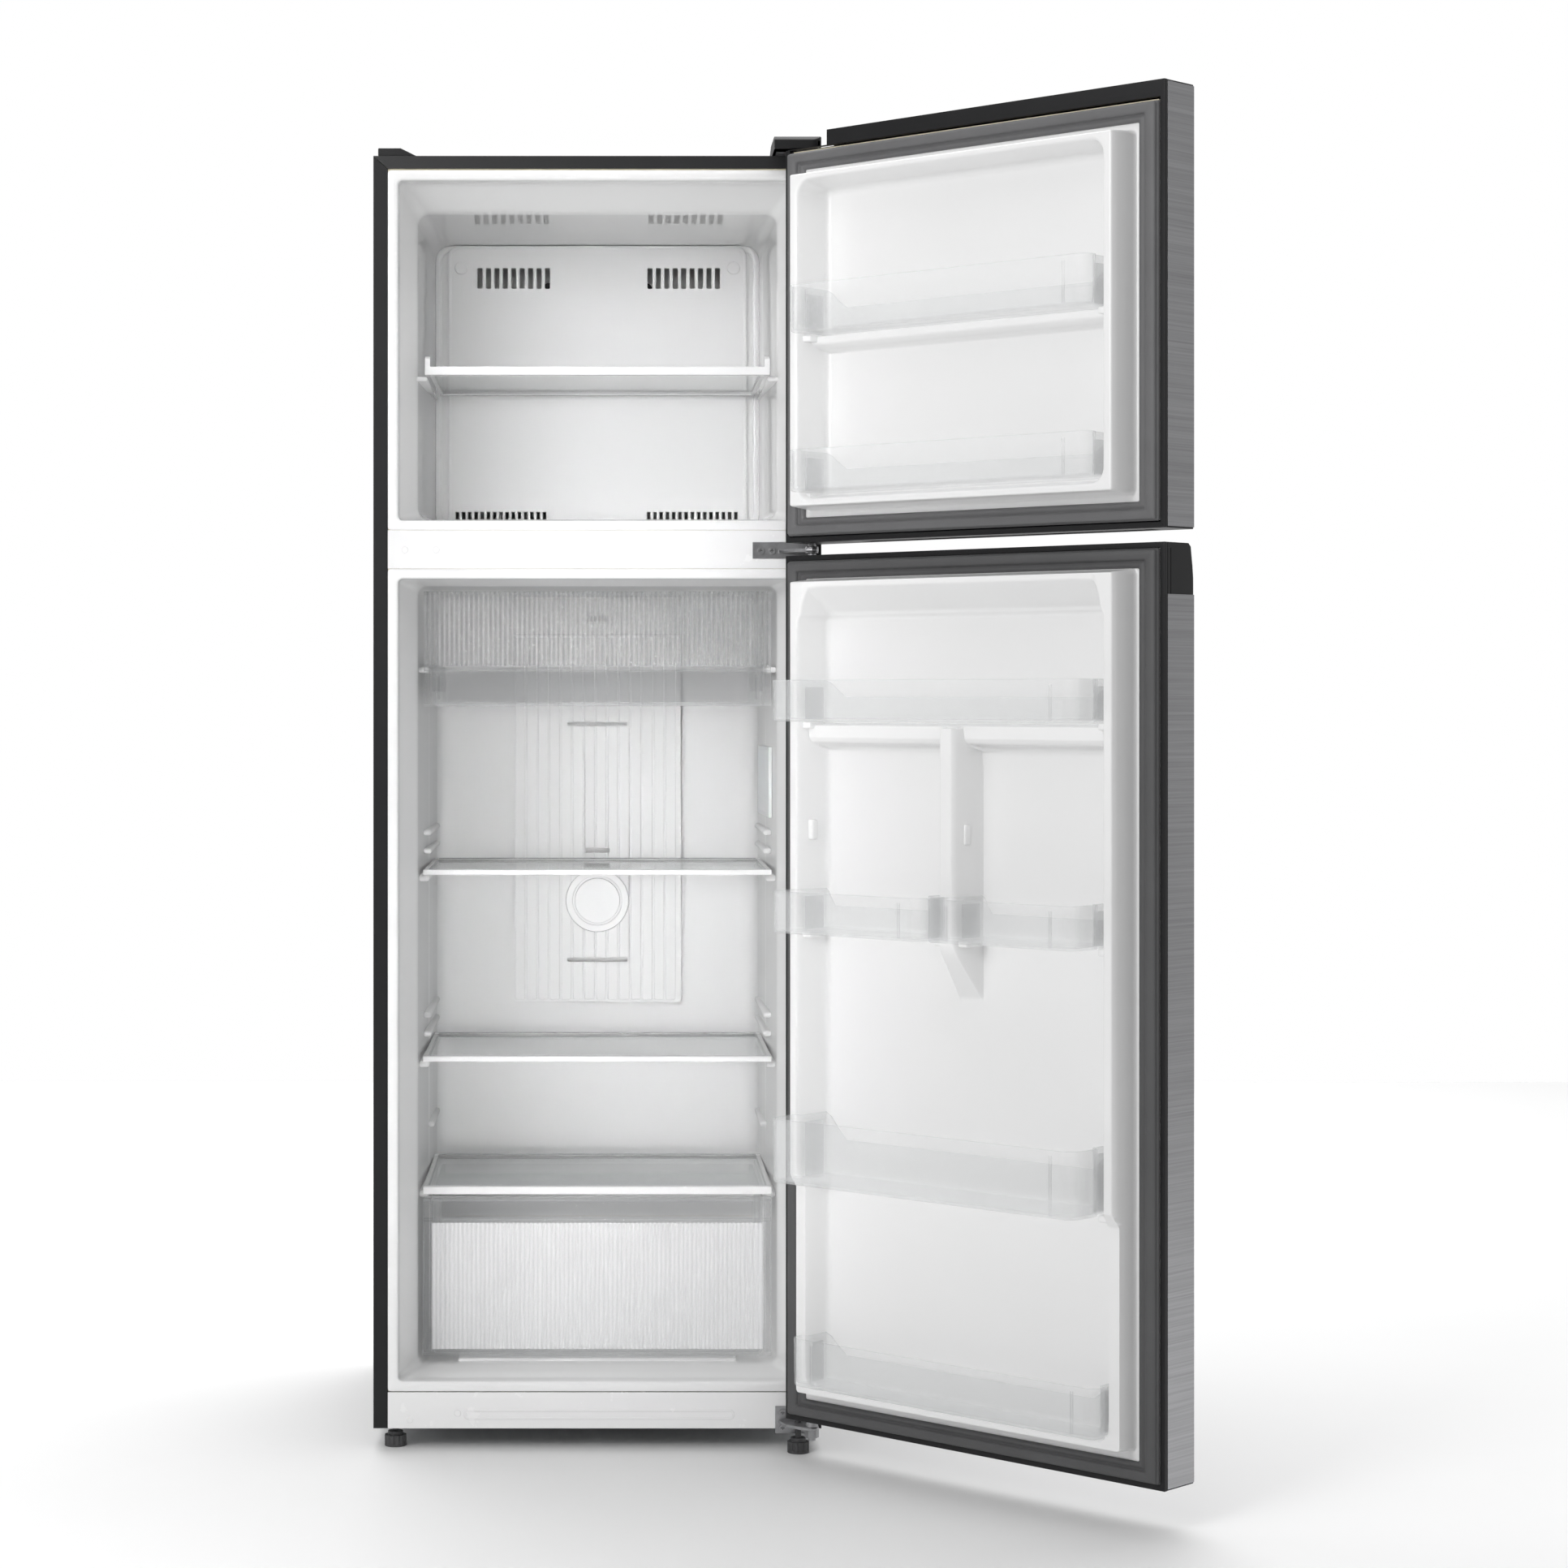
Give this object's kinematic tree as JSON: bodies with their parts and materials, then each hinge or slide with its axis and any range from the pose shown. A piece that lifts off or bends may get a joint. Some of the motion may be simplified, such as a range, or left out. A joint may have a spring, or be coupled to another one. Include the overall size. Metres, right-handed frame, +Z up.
{
  "type": "top freezer refrigerator",
  "caption": "Free-standing top freezer refrigerator with right-hinged doors standing open, glass shelves, sliding drawers and clear door baskets.",
  "frame": {"origin": "on the floor, on the cabinet's centre line, in the plane of the cabinet's front flange", "axes": "+X to the right seen from the front, +Y from the front to the back, +Z up"},
  "size_m": [1.0151, 1.0896, 1.736],
  "materials": {
    "charcoal_steel": "satin",
    "black_steel": "satin",
    "white_steel": "gloss",
    "zinc_steel": "zinc coated",
    "hinge_steel": "zinc plated",
    "brushed_door": "brushed along the width",
    "foam": "rigid foam",
    "white_abs": "vacuum formed, satin gloss",
    "white_trim": "gloss",
    "black_plastic": "satin",
    "black_rubber": "matte",
    "drip_plastic": "matte",
    "aluminium_fins": "mill",
    "lamp_plastic": "frosted",
    "fan_plastic": "gloss",
    "foot_plastic": "matte",
    "roller_plastic": "matte",
    "shelf_glass": "float glass",
    "clear_plastic": "clear moulded",
    "gasket_rubber": "matte vinyl"
  },
  "bodies": {
    "cabinet": {"side_panels": "charcoal_steel", "top_panel": "black_steel", "back_panel": "zinc_steel", "bottom_pan": "zinc_steel", "cabinet_foam": "foam", "freezer_liner": "white_abs", "fridge_liner": "white_abs", "mullion_rail": "white_steel", "bottom_rail": "white_steel", "top_hinge": "hinge_steel", "top_hinge_cover": "black_plastic", "blank_hinge_plug": "black_plastic", "middle_hinge": "hinge_steel", "lower_hinge": "hinge_steel", "hinge_screws": "hinge_steel", "base_plate": "zinc_steel", "roller_brackets": "zinc_steel", "compressor": "black_steel", "compressor_mounts": "black_rubber", "drip_tray": "drip_plastic", "machine_cover": "charcoal_steel", "cord_inlet": "black_rubber", "evaporator": "aluminium_fins", "fan_motor": "black_plastic", "evaporator_cover": "white_abs", "duct_cover": "white_abs", "duct_cap": "white_abs", "lamp_cover": "lamp_plastic"},
    "freezer_door": {"fz_door_skin": "brushed_door", "fz_door_foam": "foam", "fz_door_liner": "white_abs", "fz_door_gasket": "gasket_rubber", "fz_door_frame": "black_plastic"},
    "fridge_door": {"fr_door_skin": "brushed_door", "fr_door_foam": "foam", "fr_door_liner": "white_abs", "fr_door_gasket": "gasket_rubber", "fr_door_frame": "black_plastic"},
    "freezer_shelf": {"freezer_shelf_glass": "shelf_glass", "freezer_shelf_trim": "white_trim"},
    "upper_shelf": {"upper_shelf_glass": "shelf_glass", "upper_shelf_trim": "white_trim"},
    "middle_shelf": {"middle_shelf_glass": "shelf_glass", "middle_shelf_trim": "white_trim"},
    "crisper_cover": {"crisper_cover_glass": "shelf_glass", "crisper_cover_trim": "white_trim"},
    "chiller": {"chiller_drawer": "clear_plastic"},
    "crisper": {"crisper_drawer": "clear_plastic"},
    "fan": {"fan_blade": "fan_plastic"},
    "left_foot": {"foot_left": "foot_plastic"},
    "right_foot": {"foot_right": "foot_plastic"},
    "left_roller": {"roller_left": "roller_plastic"},
    "right_roller": {"roller_right": "roller_plastic"},
    "freezer_basket_upper": {"fz_basket_upper": "clear_plastic"},
    "freezer_basket_lower": {"fz_basket_lower": "clear_plastic"},
    "basket_top": {"fr_basket_top": "clear_plastic"},
    "basket_left": {"fr_basket_left": "clear_plastic"},
    "basket_right": {"fr_basket_right": "clear_plastic"},
    "basket_bottle": {"fr_basket_bottle": "clear_plastic"},
    "basket_bottom": {"fr_basket_bottom": "clear_plastic"}
  },
  "joints": [
    {"name": "freezer_door_hinge", "type": "hinge", "parent": "cabinet", "child": "freezer_door", "pos_m": [0.282, -0.045, 1.45], "axis": [0, 0, 1], "range_deg": [-136, 0]},
    {"name": "fridge_door_hinge", "type": "hinge", "parent": "cabinet", "child": "fridge_door", "pos_m": [0.282, -0.045, 0.6], "axis": [0, 0, 1], "range_deg": [-136, 0]},
    {"name": "freezer_shelf_slide", "type": "slide", "parent": "cabinet", "child": "freezer_shelf", "axis": [0, -1, 0], "range_m": [0, 0.2]},
    {"name": "upper_shelf_slide", "type": "slide", "parent": "cabinet", "child": "upper_shelf", "axis": [0, -1, 0], "range_m": [0, 0.2]},
    {"name": "middle_shelf_slide", "type": "slide", "parent": "cabinet", "child": "middle_shelf", "axis": [0, -1, 0], "range_m": [0, 0.2]},
    {"name": "crisper_cover_slide", "type": "slide", "parent": "cabinet", "child": "crisper_cover", "axis": [0, -1, 0], "range_m": [0, 0.2]},
    {"name": "chiller_slide", "type": "slide", "parent": "cabinet", "child": "chiller", "axis": [0, -1, 0], "range_m": [0, 0.2]},
    {"name": "crisper_slide", "type": "slide", "parent": "cabinet", "child": "crisper", "axis": [0, -1, 0], "range_m": [0, 0.25]},
    {"name": "fan_spin", "type": "hinge", "parent": "cabinet", "child": "fan", "pos_m": [0, 0.434, 1.528], "axis": [0, 1, 0], "continuous": true},
    {"name": "left_foot_turn", "type": "hinge", "parent": "cabinet", "child": "left_foot", "pos_m": [-0.2696, 0.027, 0.02], "axis": [0, 0, 1], "continuous": true},
    {"name": "right_foot_turn", "type": "hinge", "parent": "cabinet", "child": "right_foot", "pos_m": [0.2658, -0.016, 0.02], "axis": [0, 0, 1], "continuous": true},
    {"name": "left_roller_spin", "type": "hinge", "parent": "cabinet", "child": "left_roller", "pos_m": [-0.232, 0.54, 0.013], "axis": [1, 0, 0], "continuous": true},
    {"name": "right_roller_spin", "type": "hinge", "parent": "cabinet", "child": "right_roller", "pos_m": [0.232, 0.54, 0.013], "axis": [1, 0, 0], "continuous": true},
    {"name": "freezer_basket_upper_lift", "type": "slide", "parent": "freezer_door", "child": "freezer_basket_upper", "axis": [0, 0, 1], "range_m": [0, 0.035]},
    {"name": "freezer_basket_lower_lift", "type": "slide", "parent": "freezer_door", "child": "freezer_basket_lower", "axis": [0, 0, 1], "range_m": [0, 0.035]},
    {"name": "basket_top_lift", "type": "slide", "parent": "fridge_door", "child": "basket_top", "axis": [0, 0, 1], "range_m": [0, 0.035]},
    {"name": "basket_left_lift", "type": "slide", "parent": "fridge_door", "child": "basket_left", "axis": [0, 0, 1], "range_m": [0, 0.035]},
    {"name": "basket_right_lift", "type": "slide", "parent": "fridge_door", "child": "basket_right", "axis": [0, 0, 1], "range_m": [0, 0.035]},
    {"name": "basket_bottle_lift", "type": "slide", "parent": "fridge_door", "child": "basket_bottle", "axis": [0, 0, 1], "range_m": [0, 0.035]},
    {"name": "basket_bottom_lift", "type": "slide", "parent": "fridge_door", "child": "basket_bottom", "axis": [0, 0, 1], "range_m": [0, 0.035]}
  ]
}
